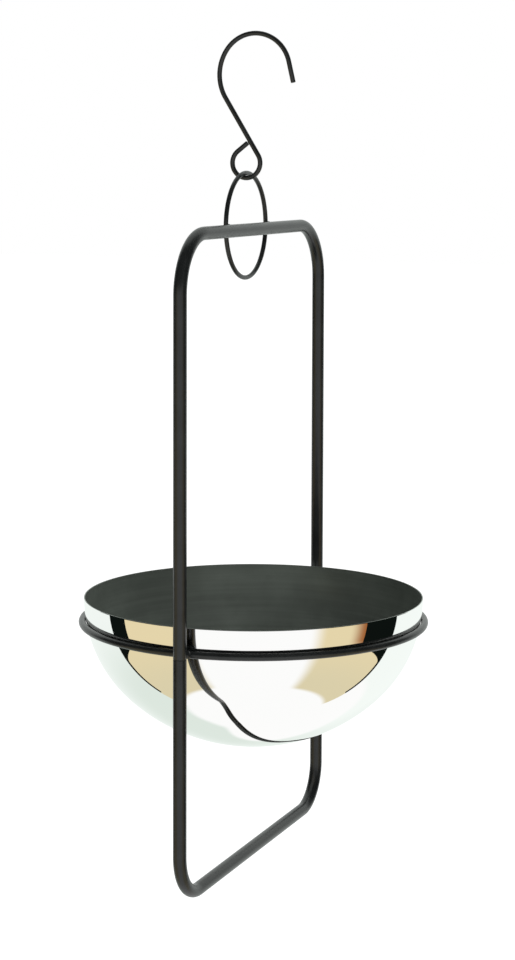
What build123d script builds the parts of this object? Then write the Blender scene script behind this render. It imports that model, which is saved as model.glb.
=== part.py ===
"""Hanging plant bowl: an S-hook, a bent tube frame with a support ring, and a loose polished bowl.

Millimetres, +Z up. The origin is the hook's seat, the underside of the wire at the top of its crown,
where the hook rests on whatever carries it. The frame stands in the XZ plane, so X runs across the
frame, and the hook lies in the YZ plane, with its mouth towards -Y.
"""
from build123d import *
from math import acos, atan2, cos, degrees, radians, sin, sqrt, tan
import os

# S-hook, bent from one wire, its radii taken to the middle of the wire. The tip is straight and splays
# outwards. The crown opens into a wider arc at the back, which runs down into the shank.
hook_wire_diameter = 3.8
tip_length = 16.6
tip_splay = 13.2
crown_radius = 28.8
back_radius = 34.0
back_start_angle = 35.5
crown_to_eye = 71.4
eye_radius = 11.6
eye_closing_angle = 52.0
eye_end_gap = 0.3
wire_end_chamfer = 0.5

# Hanging ring, welded to the back of the frame's top bar and hung in the hook's eye
hanging_ring_diameter = 85.0
hanging_wire_diameter = 3.6
link_clearance = 0.15
hanging_ring_rise = 3.0

# Frame, a bent hoop of round tube above and a bent loop of the same tube below
frame_height = 500.0
frame_width = 295.0
tube_diameter = 10.0
tube_wall = 1.0
top_corner_radius = 44.0
bottom_corner_radius = 34.0

# Support ring, a bent rod welded between the hoop's legs just above their ends
support_rod_diameter = 5.5
support_ring_height = 188.0
seam_below_ring = 2.0

# Spigots, fixed in the lower loop's ends and pushed up into the hoop's legs
spigot_length = 50.0
spigot_slip = 0.05
spigot_grip = 0.02
spigot_chamfer = 1.0

# Welds, each with the gap that its bead fills and how far it stands out round the thinner piece. A bead
# is a row of overlapping drops along the thinner piece, and the seam between the tubes stays clear of it.
weld_root_gap = 0.3
support_weld_leg = 1.3
hanging_weld_leg = 1.1
weld_drop_pitch = 2.4
weld_seam_clearance = 0.2

# Bowl, spun from sheet: a wide base arc runs into a tighter side arc, which stands upright at the rim.
# The knuckle angle is the turn of the side arc. The rim is wider than the inside of the support ring
# by the overlap, and the taper below it seats there.
bowl_depth = 116.0
bowl_knuckle_angle = 47.0
bowl_wall = 1.0
bowl_rim_overlap = 1.4
bowl_seat_clearance = 0.3

# Radii worked out from the sizes above
hook_wire_radius = hook_wire_diameter / 2
hanging_wire_radius = hanging_wire_diameter / 2
tube_radius = tube_diameter / 2
tube_bore_radius = tube_radius - tube_wall
support_rod_radius = support_rod_diameter / 2
hanging_ring_radius = hanging_ring_diameter / 2 - hanging_wire_radius
leg_offset = frame_width / 2 - tube_radius
support_ring_radius = leg_offset - tube_radius - weld_root_gap - support_rod_radius
support_ring_inner_radius = support_ring_radius - support_rod_radius
bowl_rim_radius = support_ring_inner_radius + bowl_rim_overlap
bowl_taper = bowl_rim_overlap + bowl_seat_clearance
knuckle = radians(bowl_knuckle_angle)
bowl_side_centre = (bowl_rim_radius - bowl_depth) / (1 + tan(knuckle) - 1 / cos(knuckle))
bowl_side_radius = bowl_rim_radius - bowl_side_centre
bowl_base_centre = bowl_side_centre * tan(knuckle)
bowl_base_radius = bowl_depth + bowl_base_centre

# Heights, from the hook's seat down to the foot of the frame
crown_height = hook_wire_radius - crown_radius
eye_height = crown_height - crown_to_eye
link_height = eye_height - eye_radius + hook_wire_radius + link_clearance + hanging_wire_radius
hanging_ring_height = link_height - hanging_ring_radius
top_bar_height = hanging_ring_height - hanging_ring_rise
foot_height = top_bar_height + tube_radius - frame_height
bottom_bar_height = foot_height + tube_radius
support_height = foot_height + support_ring_height
seam_height = support_height - seam_below_ring
bowl_rim_height = support_height + sqrt(2 * bowl_side_radius * bowl_taper - bowl_taper**2)

# The hanging ring stands behind the bar, and the hook's eye hangs over the ring's wire
hanging_ring_setback = tube_radius + weld_root_gap + hanging_wire_radius
hanging_weld_offset = sqrt(hanging_ring_radius**2 - hanging_ring_rise**2)


def on_circle(centre, radius, angle):
    """Point of a circle in the hook's plane, the angle in degrees from +Y towards +Z."""
    return centre + Vector(0, cos(radians(angle)), sin(radians(angle))) * radius


def tube_section(path):
    """Round tube wall, square to the start of the path that it is swept along."""
    with BuildSketch(Plane(origin=path @ 0, z_dir=path % 0)) as section:
        Circle(tube_radius)
        Circle(tube_bore_radius, mode=Mode.SUBTRACT)
    return section.sketch


os.makedirs("parts", exist_ok=True)

# S-hook: tip, crown, back, straight shank and closed eye. The shank touches the circles of the back and
# of the eye, and crosses between them.
crown_centre = Vector(0, 0, crown_height)
crown_start = on_circle(crown_centre, crown_radius, 180 - tip_splay)
tip_end = crown_start + on_circle(Vector(), tip_length, 270 - tip_splay)
back_centre = on_circle(crown_centre, crown_radius - back_radius, back_start_angle)
eye_centre = Vector(0, hanging_ring_setback, eye_height)
centre_line = eye_centre - back_centre
shank_lean = degrees(acos((back_radius + eye_radius) / centre_line.length))
shank_angle = degrees(atan2(centre_line.Z, centre_line.Y)) + shank_lean
shank_top = on_circle(back_centre, back_radius, shank_angle)
shank_foot = on_circle(eye_centre, -eye_radius, shank_angle)
shank_normal = on_circle(Vector(), 1, shank_angle)

# The eye's free end runs straight up to the shank and stops just short of it
closing_start = on_circle(eye_centre, eye_radius, eye_closing_angle)
closing_direction = on_circle(Vector(), 1, eye_closing_angle + 90)
closing_cosine = -closing_direction.dot(shank_normal)
end_face_reach = hook_wire_radius * sqrt(max(0, 1 - closing_cosine**2))
shank_distance = (closing_start - shank_foot).dot(shank_normal)
closing_run = shank_distance - hook_wire_radius - eye_end_gap - end_face_reach
closing_end = closing_start + closing_direction * (closing_run / closing_cosine)

with BuildPart() as s_hook:
    with BuildLine(Plane.YZ) as hook_wire:
        Line(tip_end, crown_start)
        CenterArc(crown_centre, crown_radius, 180 - tip_splay, back_start_angle + tip_splay - 180)
        CenterArc(back_centre, back_radius, back_start_angle, shank_angle - back_start_angle)
        Line(shank_top, shank_foot)
        CenterArc(eye_centre, eye_radius, shank_angle + 180, 180 + eye_closing_angle - shank_angle)
        Line(closing_start, closing_end)
    with BuildSketch(Plane(origin=hook_wire.wire() @ 0, z_dir=hook_wire.wire() % 0)):
        Circle(hook_wire_radius)
    sweep(path=hook_wire.wire())
    wire_ends = s_hook.faces().filter_by(GeomType.PLANE)
    chamfer(wire_ends.edges(), wire_end_chamfer)
s_hook.part.label = "s_hook"
export_step(s_hook.part, "parts/s_hook.step")

# Hanging ring: closed wire circle, parallel to the frame and behind it
hanging_ring_centre = (0, hanging_ring_setback, hanging_ring_height)
with BuildPart(Plane(origin=hanging_ring_centre, z_dir=(0, 1, 0))) as hanging_ring:
    Torus(hanging_ring_radius, hanging_wire_radius)
hanging_ring.part.label = "hanging_ring"
export_step(hanging_ring.part, "parts/hanging_ring.step")

# Upper frame: inverted U of tube, its open legs ending just below the support ring
with BuildPart() as upper_frame:
    with BuildLine(Plane.XZ) as hoop_line:
        FilletPolyline(
            (-leg_offset, seam_height),
            (-leg_offset, top_bar_height),
            (leg_offset, top_bar_height),
            (leg_offset, seam_height),
            radius=top_corner_radius,
        )
    add(tube_section(hoop_line.wire()))
    sweep(path=hoop_line.wire())
upper_frame.part.label = "upper_frame"
export_step(upper_frame.part, "parts/upper_frame.step")

# Lower frame: U of the same tube, butted against the legs of the hoop
with BuildPart() as lower_frame:
    with BuildLine(Plane.XZ) as loop_line:
        FilletPolyline(
            (-leg_offset, seam_height),
            (-leg_offset, bottom_bar_height),
            (leg_offset, bottom_bar_height),
            (leg_offset, seam_height),
            radius=bottom_corner_radius,
        )
    add(tube_section(loop_line.wire()))
    sweep(path=loop_line.wire())
lower_frame.part.label = "lower_frame"
export_step(lower_frame.part, "parts/lower_frame.step")

# Support ring: round rod bent to a circle that just fits between the legs
with BuildPart(Plane.XY.offset(support_height)) as support_ring:
    Torus(support_ring_radius, support_rod_radius)
support_ring.part.label = "support_ring"
export_step(support_ring.part, "parts/support_ring.step")

# Bowl: spun shell of even wall with a full round on its rim
with BuildPart() as bowl:
    with BuildSketch(Plane((0, 0, bowl_rim_height), x_dir=(1, 0, 0), z_dir=(0, -1, 0))):
        with BuildLine():
            for inset in (0, bowl_wall):
                base_radius = bowl_base_radius - inset
                side_radius = bowl_side_radius - inset
                CenterArc((0, bowl_base_centre), base_radius, -90, 90 - bowl_knuckle_angle)
                CenterArc((bowl_side_centre, 0), side_radius, -bowl_knuckle_angle, bowl_knuckle_angle)
            Line((0, -bowl_depth), (0, bowl_wall - bowl_depth))
            CenterArc((bowl_rim_radius - bowl_wall / 2, 0), bowl_wall / 2, 0, 180)
        make_face()
    revolve(axis=Axis.Z)
bowl.part.label = "bowl"
export_step(bowl.part, "parts/bowl.step")

for side, name in ((-1, "left"), (1, "right")):
    # Spigot: steel plug, tight in the lower tube and free to slide in the upper one
    with BuildPart(Plane.XY.offset(seam_height)) as spigot:
        with Locations((side * leg_offset, 0)):
            for clearance, z_align in ((spigot_grip, Align.MAX), (spigot_slip, Align.MIN)):
                plug_align = (Align.CENTER, Align.CENTER, z_align)
                Cylinder(tube_bore_radius - clearance, spigot_length / 2, align=plug_align)
        plug_ends = spigot.faces().filter_by(Axis.Z).sort_by(Axis.Z)
        chamfer(plug_ends[0].edges() + plug_ends[-1].edges(), spigot_chamfer)
    spigot.part.label = f"{name}_leg_spigot"
    export_step(spigot.part, f"parts/{name}_leg_spigot.step")

    # Weld between the support ring and the leg, on both sides of their contact and above the seam
    contact = (side * (leg_offset - tube_radius - weld_root_gap / 2), 0, support_height)
    with BuildPart() as support_ring_weld:
        with Locations(contact):
            with GridLocations(0, weld_drop_pitch, 1, 3):
                Sphere(support_rod_radius + support_weld_leg)
        split(bisect_by=Plane.XY.offset(seam_height + weld_seam_clearance), keep=Keep.TOP)
        with Locations((side * leg_offset, 0, support_height)):
            Cylinder(tube_radius, 4 * tube_diameter, mode=Mode.SUBTRACT)
        add(support_ring.part, mode=Mode.SUBTRACT)
    support_ring_weld.part.label = f"support_ring_weld_{name}"
    export_step(support_ring_weld.part, f"parts/support_ring_weld_{name}.step")

    # Weld between the hanging ring and the back of the top bar, above and below their contact
    contact = (side * hanging_weld_offset, tube_radius + weld_root_gap / 2, top_bar_height)
    with BuildPart() as hanging_ring_weld:
        with Locations(Location(contact, (90, 0, 0))):
            with GridLocations(0, weld_drop_pitch, 1, 3):
                Sphere(hanging_wire_radius + hanging_weld_leg)
        with Locations(Location((side * hanging_weld_offset, 0, top_bar_height), (0, 90, 0))):
            Cylinder(tube_radius, 4 * tube_diameter, mode=Mode.SUBTRACT)
        add(hanging_ring.part, mode=Mode.SUBTRACT)
    hanging_ring_weld.part.label = f"hanging_ring_weld_{name}"
    export_step(hanging_ring_weld.part, f"parts/hanging_ring_weld_{name}.step")
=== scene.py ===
"""Hanging planter: wire S-hook and ring, black tube frame with a support ring, and a polished bowl.

Metres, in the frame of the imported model: +Z up, the frame in the XZ plane, the hook in the YZ plane.
"""
from math import acos, atan2, cos, degrees, pi, radians, sin, sqrt, tan

import bpy
from bpy.props import FloatProperty, FloatVectorProperty, PointerProperty
from mathutils import Matrix, Vector


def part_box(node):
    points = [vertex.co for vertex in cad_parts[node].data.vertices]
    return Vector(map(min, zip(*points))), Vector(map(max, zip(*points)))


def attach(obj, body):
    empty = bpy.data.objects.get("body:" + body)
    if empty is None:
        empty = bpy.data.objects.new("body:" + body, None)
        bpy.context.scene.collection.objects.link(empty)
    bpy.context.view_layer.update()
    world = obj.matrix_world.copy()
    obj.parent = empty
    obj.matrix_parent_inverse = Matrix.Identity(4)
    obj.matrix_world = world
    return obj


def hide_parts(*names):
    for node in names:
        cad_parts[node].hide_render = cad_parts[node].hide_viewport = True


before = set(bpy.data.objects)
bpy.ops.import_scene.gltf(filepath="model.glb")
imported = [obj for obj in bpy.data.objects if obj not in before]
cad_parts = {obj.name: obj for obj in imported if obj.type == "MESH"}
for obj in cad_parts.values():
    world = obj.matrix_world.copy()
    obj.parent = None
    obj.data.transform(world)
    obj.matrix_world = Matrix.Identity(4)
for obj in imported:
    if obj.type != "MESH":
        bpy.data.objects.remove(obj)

bl_info = {
    "name": "Hanging planter",
    "version": (1, 0, 0),
    "blender": (4, 5, 0),
    "location": "View3D > Sidebar > Planter",
    "description": "Models and dresses a hanging planter with a tube frame and a polished bowl",
    "category": "Add Mesh",
}

PLAIN = "plain_steel"

# Points nearer than this are one point, in metres
SAME_PLACE = 1e-6

X = Vector((1, 0, 0))
Y = Vector((0, 1, 0))
Z = Vector((0, 0, 1))


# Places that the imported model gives
hook_low, hook_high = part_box("s_hook")
ring_low, ring_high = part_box("hanging_ring")
hoop_low, hoop_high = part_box("upper_frame")
loop_low, loop_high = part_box("lower_frame")
rest_low, rest_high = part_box("support_ring")
bowl_low, bowl_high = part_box("bowl")


def length_property(name, description, default):
    return FloatProperty(name=name, description=description, default=default, unit="LENGTH", precision=5)


class PlanterSizes(bpy.types.PropertyGroup):
    """Sizes of the planter's pieces."""
    hook_wire: length_property("Hook wire", "Diameter of the S-hook's wire", 0.0038)
    tip_length: length_property("Tip length", "Straight end of the hook's open side", 0.0166)
    tip_splay: FloatProperty(
        name="Tip splay", description="How far the tip leans outwards", default=radians(13.2), subtype="ANGLE",
    )
    crown_radius: length_property("Crown radius", "Bend of the hook's crown, to the wire's middle", 0.0288)
    back_radius: length_property("Back radius", "Wider bend at the hook's back, above its shank", 0.034)
    back_start: FloatProperty(
        name="Back start", description="Where the crown opens into the back", default=radians(35.5),
        subtype="ANGLE",
    )
    eye_radius: length_property("Eye radius", "Bend of the hook's eye, to the wire's middle", 0.0116)
    eye_closing_angle: FloatProperty(
        name="Eye closing angle", description="Where the eye's bend ends and its straight end begins",
        default=radians(52), subtype="ANGLE",
    )
    eye_end_gap: length_property("Eye end gap", "Gap between the eye's free end and the shank", 0.0003)
    wire_rounding: length_property("Wire end rounding", "Rounding on the cut ends of the hook's wire", 0.0005)
    ring_diameter: length_property("Hanging ring", "Outer diameter of the hanging ring", 0.085)
    ring_wire: length_property("Hanging ring wire", "Diameter of the hanging ring's wire", 0.0036)
    tube: length_property("Frame tube", "Outer diameter of the frame's tube", 0.010)
    tube_wall: length_property("Tube wall", "Wall of the frame's tube", 0.001)
    top_corner: length_property("Top corner", "Bend of the frame's upper corners, to the tube's middle", 0.044)
    bottom_corner: length_property("Bottom corner", "Bend of the frame's lower corners", 0.034)
    tube_edge: length_property("Tube edge", "Rounding on the tube's cut edges at the leg joints", 0.00035)
    rest_rod: length_property("Support rod", "Diameter of the support ring's rod", 0.0055)
    root_gap: length_property("Weld root gap", "Gap that a weld bead fills", 0.0003)
    bowl_wall: length_property("Bowl wall", "Thickness of the bowl's sheet", 0.001)
    bowl_knuckle: FloatProperty(
        name="Bowl knuckle", description="Turn of the bowl's side arc, down to its base arc",
        default=radians(47), subtype="ANGLE",
    )


def colour_property(name, description, default):
    return FloatVectorProperty(name=name, description=description, default=default, subtype="COLOR", size=3)


class PlanterColours(bpy.types.PropertyGroup):
    """Colours of the planter's finishes and of the studio."""
    coat: colour_property("Powder coat", "Black coat on tube, rod and wire", (0.0075, 0.0085, 0.0085))
    polished: colour_property("Polished steel", "Outside of the bowl", (0.97, 0.97, 0.96))
    dull: colour_property("Dull steel", "Inside of the bowl", (0.14, 0.16, 0.14))
    plain: colour_property("Plain steel", "Spigots inside the leg joints", (0.56, 0.56, 0.57))
    floor: colour_property("Floor", "Pale studio floor", (0.93, 0.93, 0.93))
    # Colour of a warm wall that shows only in the world's painted reflection, which glossy rays see and nothing else
    painted_room_reflection: colour_property("Room", "Warm studio wall in front of the object", (0.80, 0.68, 0.42))


class Value:
    """One output of a node, with arithmetic that adds Math nodes."""

    def __init__(self, nodes, socket):
        self.nodes = nodes
        self.socket = socket

    def math(self, operation, *values):
        return self.nodes.add("ShaderNodeMath", {"operation": operation}, *enumerate(values))

    def __add__(self, other):
        return self.math("ADD", self, other)

    def __radd__(self, other):
        return self.math("ADD", other, self)

    def __sub__(self, other):
        return self.math("SUBTRACT", self, other)

    def __rsub__(self, other):
        return self.math("SUBTRACT", other, self)

    def __mul__(self, other):
        return self.math("MULTIPLY", self, other)

    def __rmul__(self, other):
        return self.math("MULTIPLY", other, self)

    def __gt__(self, other):
        return self.math("GREATER_THAN", self, other)

    def __lt__(self, other):
        return self.math("LESS_THAN", self, other)

    def ramp(self, start, end):
        """Smooth step from 0 at start to 1 at end."""
        settings = {"interpolation_type": "SMOOTHSTEP"}
        return self.nodes.add("ShaderNodeMapRange", settings, ("Value", self), ("From Min", start), ("From Max", end))


class Nodes:
    """The nodes of one material or world."""

    def __init__(self, owner):
        owner.use_nodes = True
        self.tree = owner.node_tree
        self.tree.nodes.clear()

    def add(self, kind, settings, *inputs, output=0):
        """Adds a node: its settings first, then the value or link of each socket, and returns an output."""
        node = self.tree.nodes.new(kind)
        for name, value in settings.items():
            setattr(node, name, value)
        for name, value in inputs:
            if isinstance(value, Value):
                self.tree.links.new(value.socket, node.inputs[name])
            else:
                node.inputs[name].default_value = value
        if node.outputs:
            return Value(self, node.outputs[output])

    def mix(self, factor, colour_a, colour_b):
        """Mixes two colours by a factor."""
        inputs = (("Factor", factor), (6, colour_a), (7, colour_b))
        return self.add("ShaderNodeMix", {"data_type": "RGBA"}, *inputs, output=2)

    def noise(self, place, scale=1.0, detail=2.0):
        """Soft noise, with scale features to a metre."""
        return self.add("ShaderNodeTexNoise", {}, ("Vector", place), ("Scale", scale), ("Detail", detail))

    def stretch(self, place, scale):
        """Scales the place along each axis, so that a noise on it runs in streaks."""
        return self.add("ShaderNodeMapping", {}, ("Vector", place), ("Scale", scale))

    def bump(self, height, distance, strength):
        """Tilts the surface by a height, with the distance in metres."""
        inputs = (("Height", height), ("Distance", distance), ("Strength", strength))
        return self.add("ShaderNodeBump", {}, *inputs)


def opaque(colour):
    """A colour with alpha, as colour sockets take it."""
    return (*colour, 1.0)


WHITE = opaque((1, 1, 1))


def shades(colour, *factors):
    """A colour made darker or lighter by each factor."""
    return [opaque([channel * factor for channel in colour]) for factor in factors]


def finish_material(name, nodes_maker):
    """Makes a material once and gives the same one each time it is asked for. The names differ from the
    record's slots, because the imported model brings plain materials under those.
    """
    material = bpy.data.materials.get(name)
    if material is None:
        material = bpy.data.materials.new(name)
        nodes = Nodes(material)
        shader = nodes_maker(nodes)
        nodes.add("ShaderNodeOutputMaterial", {}, ("Surface", shader))
    return material


def powder_coat(nodes):
    """Black powder coat: fine orange peel, a soft sheen that varies a little, and a faint cool tint."""
    coat = bpy.context.scene.planter_colours.coat
    place = nodes.add("ShaderNodeTexCoord", {}, output=3)
    peel = nodes.noise(place, scale=900.0)
    grain = nodes.noise(place, scale=3200.0, detail=1.0)
    clouds = nodes.noise(place, scale=55.0, detail=3.0)
    tone = nodes.mix(clouds.ramp(0.35, 0.7), *shades(coat, 1.0, 1.5))
    normal = nodes.bump(peel * 0.8 + grain * 0.2, distance=0.00003, strength=0.5)
    return nodes.add(
        "ShaderNodeBsdfPrincipled", {},
        ("Base Color", tone),
        ("Roughness", 0.27 + 0.08 * clouds),
        ("Specular IOR Level", 0.45),
        ("Normal", normal),
    )


def polished_steel(nodes):
    """Mirror polish on spun steel: almost no roughness, with the faintest waves and wiping marks."""
    polished = bpy.context.scene.planter_colours.polished
    place = nodes.add("ShaderNodeTexCoord", {}, output=3)
    waves = nodes.noise(place, scale=14.0, detail=1.0)
    spun = nodes.noise(nodes.stretch(place, (8.0, 8.0, 900.0)))
    smears = nodes.noise(place, scale=35.0, detail=4.0)
    return nodes.add(
        "ShaderNodeBsdfPrincipled", {},
        ("Base Color", opaque(polished)),
        ("Metallic", 1.0),
        ("Roughness", 0.012 + 0.02 * smears.ramp(0.5, 0.8) + 0.012 * spun.ramp(0.55, 0.75)),
        ("Normal", nodes.bump(waves, distance=0.0006, strength=0.25)),
    )


def dull_steel(nodes):
    """Dull dark inside of the bowl, with streaks that run round it."""
    dull = bpy.context.scene.planter_colours.dull
    place = nodes.add("ShaderNodeTexCoord", {}, output=3)
    streaks = nodes.noise(nodes.stretch(place, (10.0, 10.0, 420.0)), detail=3.0)
    stains = nodes.noise(place, scale=22.0, detail=4.0)
    shade = 0.3 + streaks.ramp(0.3, 0.75) * 0.2 + stains.ramp(0.35, 0.7) * 0.3
    tone = nodes.mix(shade, *shades(dull, 0.6, 1.35))
    return nodes.add(
        "ShaderNodeBsdfPrincipled", {},
        ("Base Color", tone),
        ("Metallic", 0.55),
        ("Roughness", 0.34 + 0.14 * streaks),
        ("Normal", nodes.bump(streaks, distance=0.00005, strength=0.5)),
    )


def plain_steel(nodes):
    """Bare drawn steel with fine lines along the rod."""
    plain = bpy.context.scene.planter_colours.plain
    place = nodes.add("ShaderNodeTexCoord", {}, output=3)
    lines = nodes.noise(nodes.stretch(place, (2600.0, 2600.0, 60.0)))
    tone = nodes.mix(lines, *shades(plain, 0.75, 1.0))
    return nodes.add(
        "ShaderNodeBsdfPrincipled", {},
        ("Base Color", tone),
        ("Metallic", 1.0),
        ("Roughness", 0.26 + 0.16 * lines),
        ("Normal", nodes.bump(lines, distance=0.00002, strength=0.5)),
    )


def new_piece(primitive, **settings):
    """Adds a primitive with nothing else selected and opens it in edit mode."""
    bpy.ops.object.select_all(action="DESELECT")
    primitive(**settings)
    bpy.ops.object.transform_apply(location=True, rotation=True, scale=True)
    bpy.ops.object.mode_set(mode="EDIT")
    bpy.ops.mesh.select_mode(type="VERT")
    bpy.ops.mesh.select_all(action="SELECT")
    return bpy.context.object


def start_wire(radius, place, heading, sides):
    """Opens a wire or tube with its round section at place, square to its heading."""
    turn = Vector(heading).to_track_quat("Z", "Y").to_euler()
    return new_piece(
        bpy.ops.mesh.primitive_circle_add, vertices=sides, radius=radius, location=place, rotation=turn,
    )


def run_straight(run):
    """Draws the selected end of a wire or tube along a straight run."""
    bpy.ops.mesh.extrude_region_move(TRANSFORM_OT_translate={"value": run})


def bend(centre, axis, turn, steps):
    """Draws the selected end round a centre, by the right-hand rule. The spin operator turns the other way."""
    bpy.ops.mesh.spin(steps=steps, angle=-turn, center=centre, axis=axis)


def select_points(piece, wanted):
    """Selects the points whose place is wanted."""
    bpy.ops.object.mode_set(mode="OBJECT")
    for point in piece.data.vertices:
        point.select = wanted(point.co)
    for group in (piece.data.edges, piece.data.polygons):
        for item in group:
            item.select = all(piece.data.vertices[index].select for index in item.vertices)
    bpy.ops.object.mode_set(mode="EDIT")


def round_edges(piece, wanted, width, steps):
    """Bevels the edges between the wanted points."""
    select_points(piece, wanted)
    bpy.ops.mesh.bevel(offset=width, offset_type="OFFSET", segments=steps, affect="EDGES")


def close_ends(piece, wire, *ends):
    """Fills each open end of a wire, given as (place, heading), and rounds its edge."""
    rounding = bpy.context.scene.planter_sizes.wire_rounding
    for place, heading in ends:
        def at_end(point):
            return abs((point - place).dot(heading)) < SAME_PLACE and (point - place).length < wire * 2

        select_points(piece, at_end)
        bpy.ops.mesh.edge_face_add()
        round_edges(piece, at_end, rounding, 3)


def finish_mesh(piece, name, angle=35.0):
    """Merges doubled points, turns all faces outwards, leaves edit mode and smooths the piece."""
    bpy.ops.mesh.select_all(action="SELECT")
    bpy.ops.mesh.remove_doubles(threshold=SAME_PLACE)
    bpy.ops.mesh.normals_make_consistent(inside=False)
    bpy.ops.object.mode_set(mode="OBJECT")
    piece.name = name
    piece.data.name = name
    bpy.ops.object.shade_smooth_by_angle(angle=radians(angle))


def apply_modifier(piece, kind, **settings):
    """Adds a modifier with its settings and applies it."""
    modifier = piece.modifiers.new(kind.title(), kind)
    for name, value in settings.items():
        setattr(modifier, name, value)
    bpy.context.view_layer.objects.active = piece
    bpy.ops.object.modifier_apply(modifier=modifier.name)


def dress(piece, material):
    """Gives a piece its one material."""
    piece.data.materials.clear()
    piece.data.materials.append(material)


def hand_over(piece, body, node):
    """Gives a finished piece its body and hides the imported node that it replaces."""
    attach(piece, body)
    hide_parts(node)


class PLANTER_OT_hook(bpy.types.Operator):
    """Bend the S-hook from one wire: crown, straight shank and closed eye."""
    bl_idname = "planter.hook"
    bl_label = "S-hook"

    def execute(self, context):
        sizes = context.scene.planter_sizes
        wire = sizes.hook_wire / 2
        crown = Vector((0, 0, hook_high.z - wire - sizes.crown_radius))
        eye = Vector((0, (ring_low.y + ring_high.y) / 2, hook_low.z + wire + sizes.eye_radius))

        def around(centre, radius, angle):
            return centre + Vector((0, cos(angle), sin(angle))) * radius

        crown_angle = pi - sizes.tip_splay
        crown_start = around(crown, sizes.crown_radius, crown_angle)
        tip_heading = around(Vector(), -1, crown_angle + pi / 2)
        tip = crown_start - tip_heading * sizes.tip_length
        back = around(crown, sizes.crown_radius - sizes.back_radius, sizes.back_start)
        between = eye - back
        lean = acos((sizes.back_radius + sizes.eye_radius) / between.length)
        shank_angle = atan2(between.z, between.y) + lean
        shank_top = around(back, sizes.back_radius, shank_angle)
        shank_foot = around(eye, -sizes.eye_radius, shank_angle)
        shank_side = around(Vector(), 1, shank_angle)
        closing_start = around(eye, sizes.eye_radius, sizes.eye_closing_angle)
        closing_heading = around(Vector(), 1, sizes.eye_closing_angle + pi / 2)
        closing_slope = -closing_heading.dot(shank_side)
        end_reach = wire * sqrt(max(0.0, 1 - closing_slope ** 2))
        shank_distance = (closing_start - shank_foot).dot(shank_side)
        closing_run = closing_heading * ((shank_distance - wire - sizes.eye_end_gap - end_reach) / closing_slope)

        piece = start_wire(wire, tip, tip_heading, 32)
        run_straight(crown_start - tip)
        bend(crown, X, sizes.back_start - crown_angle, 56)
        bend(back, X, shank_angle - sizes.back_start, 32)
        run_straight(shank_foot - shank_top)
        bend(eye, X, pi + sizes.eye_closing_angle - shank_angle, 64)
        run_straight(closing_run)
        close_ends(piece, wire, (tip, tip_heading), (closing_start + closing_run, closing_heading))
        finish_mesh(piece, "s_hook_wire")
        dress(piece, finish_material("coat_finish", powder_coat))
        hand_over(piece, "hook", "s_hook")
        return {"FINISHED"}


class PLANTER_OT_rings(bpy.types.Operator):
    """Bend the hanging ring and the support ring, and close each into a circle."""
    bl_idname = "planter.rings"
    bl_label = "Rings"

    def execute(self, context):
        sizes = context.scene.planter_sizes
        coat = finish_material("coat_finish", powder_coat)

        hang_wire = sizes.ring_wire / 2
        hang_radius = sizes.ring_diameter / 2 - hang_wire
        hang_centre = (ring_low + ring_high) / 2
        piece = start_wire(hang_wire, hang_centre + X * hang_radius, Z, 32)
        bend(hang_centre, Y, 2 * pi, 160)
        finish_mesh(piece, "hanging_ring_wire")
        dress(piece, coat)
        hand_over(piece, "hanger", "hanging_ring")

        rod = sizes.rest_rod / 2
        rest_radius = hoop_high.x - sizes.tube - sizes.root_gap - rod
        rest_centre = Vector((0, 0, (rest_low.z + rest_high.z) / 2))
        piece = start_wire(rod, rest_centre + X * rest_radius, Y, 40)
        bend(rest_centre, Z, 2 * pi, 256)
        finish_mesh(piece, "support_ring_rod")
        dress(piece, coat)
        hand_over(piece, "hanger", "support_ring")
        return {"FINISHED"}


class PLANTER_OT_frame_tubes(bpy.types.Operator):
    """Bend the upper hoop and the lower loop from tube, with their open ends at the leg joints."""
    bl_idname = "planter.frame_tubes"
    bl_label = "Frame tubes"

    def bend_tube(self, sizes, name, bar_height, joint_height, corner):
        """Bends one tube from its left end, over two corners, to its right end."""
        radius = sizes.tube / 2
        leg = hoop_high.x - radius
        upright = Z if bar_height > joint_height else -Z
        leg_run = upright * (abs(bar_height - joint_height) - corner)
        inner = leg - corner
        corner_height = bar_height - upright.z * corner
        axis = Y * upright.z
        piece = start_wire(radius, (-leg, 0, joint_height), upright, 56)
        run_straight(leg_run)
        bend((-inner, 0, corner_height), axis, pi / 2, 28)
        run_straight(X * 2 * inner)
        bend((inner, 0, corner_height), axis, pi / 2, 28)
        run_straight(-leg_run)
        finish_mesh(piece, name)
        apply_modifier(piece, "SOLIDIFY", thickness=sizes.tube_wall, offset=-1.0, use_even_offset=True)
        bpy.ops.object.mode_set(mode="EDIT")
        bpy.ops.mesh.select_mode(type="VERT")

        def at_cut(point):
            reach = Vector((abs(point.x) - leg, point.y)).length
            return abs(point.z - joint_height) < SAME_PLACE and reach > radius - sizes.tube_wall / 2

        round_edges(piece, at_cut, sizes.tube_edge, 3)
        finish_mesh(piece, name)
        return piece

    def execute(self, context):
        sizes = context.scene.planter_sizes
        radius = sizes.tube / 2
        coat = finish_material("coat_finish", powder_coat)
        top_bar = hoop_high.z - radius
        foot_bar = loop_low.z + radius
        hoop = self.bend_tube(sizes, "upper_frame_tube", top_bar, hoop_low.z, sizes.top_corner)
        dress(hoop, coat)
        hand_over(hoop, "hanger", "upper_frame")
        loop = self.bend_tube(sizes, "lower_frame_tube", foot_bar, loop_high.z, sizes.bottom_corner)
        dress(loop, coat)
        hand_over(loop, "lower_loop", "lower_frame")
        return {"FINISHED"}


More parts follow.
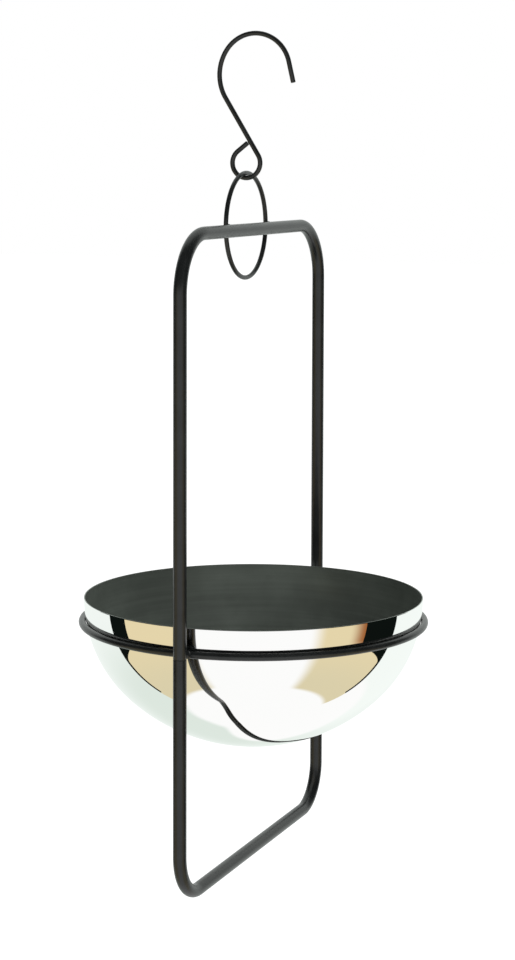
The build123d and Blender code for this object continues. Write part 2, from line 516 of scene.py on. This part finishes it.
class PLANTER_OT_bowl(bpy.types.Operator):
    """Spin the bowl from sheet: a base arc, a side arc, an even wall and a rounded rim."""
    bl_idname = "planter.bowl"
    bl_label = "Bowl"

    def execute(self, context):
        sizes = context.scene.planter_sizes
        wall = sizes.bowl_wall
        rim_radius = bowl_high.x
        rim_height = bowl_high.z - wall / 2
        depth = rim_height - bowl_low.z
        turn = sizes.bowl_knuckle
        side_centre = (rim_radius - depth) / (1 + tan(turn) - 1 / cos(turn))
        base_centre = side_centre * tan(turn)

        start = (0, 0, bowl_low.z)
        piece = new_piece(bpy.ops.mesh.primitive_plane_add, size=wall, location=start)
        bpy.ops.mesh.merge(type="CENTER")
        bend((0, 0, rim_height + base_centre), -Y, pi / 2 - turn, 40)
        bend((side_centre, 0, rim_height), -Y, turn, 44)
        run_straight(Z * wall / 2)
        bpy.ops.mesh.select_all(action="SELECT")
        bend((0, 0, 0), Z, 2 * pi, 288)
        finish_mesh(piece, "bowl_shell")
        for material in (finish_material("mirror_finish", polished_steel), finish_material("dull_finish", dull_steel)):
            piece.data.materials.append(material)
        apply_modifier(
            piece, "SOLIDIFY", thickness=wall, offset=-1.0, use_even_offset=True, material_offset=1,
            material_offset_rim=1,
        )
        bpy.ops.object.mode_set(mode="EDIT")
        bpy.ops.mesh.select_mode(type="VERT")
        round_edges(piece, lambda point: point.z > bowl_high.z - wall / 4, wall * 0.46, 4)
        finish_mesh(piece, "bowl_shell", angle=60.0)
        hand_over(piece, "bowl", "bowl")
        return {"FINISHED"}


class PLANTER_OT_spigots(bpy.types.Operator):
    """Give the plugs inside the leg joints their bare steel, and the weld beads the frame's coat."""
    bl_idname = "planter.spigots"
    bl_label = "Spigots and weld beads"

    def execute(self, context):
        steel = finish_material("drawn_finish", plain_steel)
        coat = finish_material("coat_finish", powder_coat)
        for side in ("left", "right"):
            dress(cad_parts[side + "_leg_spigot"], steel)
            dress(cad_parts["support_ring_weld_" + side], coat)
            dress(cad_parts["hanging_ring_weld_" + side], coat)
        return {"FINISHED"}


class PLANTER_OT_stage(bpy.types.Operator):
    """Set the studio: pale floor, soft light, a painted reflection of surroundings that only the polish sees, and the
    camera.
    """
    bl_idname = "planter.stage"
    bl_label = "Studio"

    # Where the photograph was taken from, and how
    camera_place = Vector((-1.6045, -0.6506, -0.09185))
    camera_azimuth = radians(68.01)
    camera_pitch = radians(4.0)
    camera_roll = radians(0.171)
    camera_lens = 83.44
    camera_shift = -0.1768

    # How far the floor lies below the foot, and how much of it shows to the camera as plain white
    floor_drop = 0.55
    floor_glow = 1.3
    floor_glow_share = 0.75

    # Where the painted reflection's sheet, dark gaps and bright floor lie, seen only by glossy rays: turns from the
    # camera's heading and drops below level, in degrees
    sheet_turn = 67.5
    gap_start = 70
    gap_width = 14
    gap_width_high = 34
    gap_drop = 52
    floor_start = 60

    def floor_finish(self, nodes):
        """Pale matte floor that shows white to the camera and keeps a soft shadow."""
        colour = opaque(bpy.context.scene.planter_colours.floor)
        matte = nodes.add("ShaderNodeBsdfDiffuse", {}, ("Color", colour))
        glow = nodes.add("ShaderNodeEmission", {}, ("Color", WHITE), ("Strength", self.floor_glow))
        camera_ray = nodes.add("ShaderNodeLightPath", {}, output=0)
        return nodes.add("ShaderNodeMixShader", {}, (0, camera_ray * self.floor_glow_share), (1, matte), (2, glow))

    def build_world(self, context):
        """Plain white light, with a painted reflection of a room and backdrop that only glossy rays see, so a mirror
        finish shows them and nothing is lit by them.
        """
        world = bpy.data.worlds.new("studio")
        context.scene.world = world
        nodes = Nodes(world)
        heading = self.camera_azimuth
        away = (sin(heading), cos(heading), 0)
        right = (cos(heading), -sin(heading), 0)
        look = nodes.add("ShaderNodeTexCoord", {}, output=0)

        def along(direction):
            return nodes.add("ShaderNodeVectorMath", {"operation": "DOT_PRODUCT"}, (0, look), (1, direction), output=1)

        swing = look.math("ARCTAN2", along(right), along(away)) * degrees(1)
        rise = look.math("ARCSINE", along(Z)) * degrees(1)
        turn = look.math("ABSOLUTE", swing)
        right_side = swing > 0
        # Near-black for the painted dark gaps and the dark overhead in the reflection
        dark = opaque((0.004, 0.006, 0.005))
        painted_room_reflection = opaque(context.scene.planter_colours.painted_room_reflection)
        drop = 0 - rise

        # Painted reflection away from the camera: a pale sheet, and a bright floor below it
        sheet = nodes.mix(drop.ramp(12, 45), opaque((0.90, 0.95, 0.92)), opaque((0.74, 0.82, 0.76)))
        sheet = nodes.mix(swing.ramp(-5, 25), sheet, opaque((0.93, 0.98, 0.95)))
        painted_floor_reflection_edge = 62 - 20 * swing.ramp(-18, 4)
        sheet = nodes.mix((drop - painted_floor_reflection_edge).ramp(-2, 3), sheet, WHITE)

        # Painted reflection towards the camera: a warm room with a bright window and floor, a dark brown band, and
        # painted dark gaps overhead and beside the sheet
        painted_lower_room = nodes.mix(drop.ramp(20, 55), painted_room_reflection, opaque((0.72, 0.64, 0.42)))
        # Painted dark brown band in the reflection on the right side, fading into the painted room lower down and
        # further round
        painted_brown_band = nodes.mix(turn.ramp(98, 112), opaque((0.36, 0.13, 0.04)), painted_lower_room)
        painted_brown_band = nodes.mix(drop.ramp(22, 30), painted_brown_band, painted_lower_room)
        front = nodes.mix(right_side, painted_lower_room, painted_brown_band)
        front = nodes.mix(turn.ramp(128, 142), front, WHITE)
        high = rise.ramp(-12, -3)
        front = nodes.mix(rise.ramp(5, 14), front, dark)
        taper = 1 - drop.ramp(25, 34)
        gap_end = self.gap_start + taper * self.gap_width * (1 + right_side) + high * self.gap_width_high
        front = nodes.mix((turn < gap_end) * (drop < self.gap_drop), front, dark)
        front = nodes.mix(drop.ramp(self.floor_start, self.floor_start + 3), front, WHITE)
        around = nodes.mix(turn < self.sheet_turn - high * 12, front, sheet)

        # The camera sees white, glossy rays see the painted reflection, and all else gets plain light
        camera_ray = nodes.add("ShaderNodeLightPath", {}, output=0)
        glossy_ray = nodes.add("ShaderNodeLightPath", {}, output=3)
        shown = nodes.mix(glossy_ray, WHITE, around)
        seen_light = nodes.add("ShaderNodeBackground", {}, ("Color", shown), ("Strength", 1.0))
        plain_light = nodes.add("ShaderNodeBackground", {}, ("Color", WHITE), ("Strength", 0.62))
        seen = glossy_ray.math("MINIMUM", camera_ray + glossy_ray, 1.0)
        surface = nodes.add("ShaderNodeMixShader", {}, (0, seen), (1, plain_light), (2, seen_light))
        nodes.add("ShaderNodeOutputWorld", {}, ("Surface", surface))

    def add_softbox(self, name, place, aim, size, power):
        """Adds a large soft lamp that lights the object and doesn't show in its polish."""
        heading = (Vector(aim) - Vector(place)).to_track_quat("-Z", "Y").to_euler()
        bpy.ops.object.light_add(type="AREA", location=place, rotation=heading)
        lamp = bpy.context.object
        lamp.name = name
        lamp.data.shape = "SQUARE"
        lamp.data.size = size
        lamp.data.energy = power
        lamp.visible_glossy = False

    def execute(self, context):
        scene = context.scene
        bpy.ops.object.select_all(action="DESELECT")
        bpy.ops.mesh.primitive_plane_add(size=40.0, location=(0, 0, loop_low.z - self.floor_drop))
        floor = context.object
        floor.name = "floor"
        floor.data.materials.append(finish_material("pale_floor", self.floor_finish))
        floor.visible_glossy = False

        self.build_world(context)
        middle = (0, 0, (hook_high.z + loop_low.z) / 2)
        self.add_softbox("key_softbox", place=(-1.6, -2.2, 1.6), aim=middle, size=1.8, power=60.0)
        self.add_softbox("fill_softbox", place=(2.2, -0.6, 1.2), aim=middle, size=1.8, power=25.0)

        bpy.ops.object.camera_add(location=self.camera_place)
        camera = context.object
        camera.name = "camera"
        camera.rotation_euler = (pi / 2 - self.camera_pitch, 0, -self.camera_azimuth)
        turn = camera.rotation_euler.to_matrix() @ Matrix.Rotation(self.camera_roll, 3, "Z")
        camera.rotation_euler = turn.to_euler()
        camera.data.lens = self.camera_lens
        camera.data.shift_y = self.camera_shift
        camera.data.dof.use_dof = False
        scene.camera = camera
        scene.view_settings.view_transform = "Standard"
        return {"FINISHED"}


class PLANTER_PT_panel(bpy.types.Panel):
    """Lists the planter's steps and sizes in the sidebar."""
    bl_label = "Hanging planter"
    bl_idname = "PLANTER_PT_panel"
    bl_space_type = "VIEW_3D"
    bl_region_type = "UI"
    bl_category = "Planter"

    def draw(self, context):
        for step in STEPS:
            self.layout.operator(step.bl_idname)
        for settings in (context.scene.planter_sizes, context.scene.planter_colours):
            box = self.layout.box()
            for name in settings.__annotations__:
                box.prop(settings, name)


STEPS = (
    PLANTER_OT_hook,
    PLANTER_OT_rings,
    PLANTER_OT_frame_tubes,
    PLANTER_OT_bowl,
    PLANTER_OT_spigots,
    PLANTER_OT_stage,
)
CLASSES = (PlanterSizes, PlanterColours, *STEPS, PLANTER_PT_panel)


def register():
    for item in CLASSES:
        bpy.utils.register_class(item)
    bpy.types.Scene.planter_sizes = PointerProperty(type=PlanterSizes)
    bpy.types.Scene.planter_colours = PointerProperty(type=PlanterColours)


def unregister():
    del bpy.types.Scene.planter_sizes
    del bpy.types.Scene.planter_colours
    for item in reversed(CLASSES):
        bpy.utils.unregister_class(item)


def main():
    """Builds the planter and its studio."""
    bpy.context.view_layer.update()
    register()
    bpy.ops.planter.hook()
    bpy.ops.planter.rings()
    bpy.ops.planter.frame_tubes()
    bpy.ops.planter.bowl()
    bpy.ops.planter.spigots()
    bpy.ops.planter.stage()


if __name__ == "__main__":
    main()
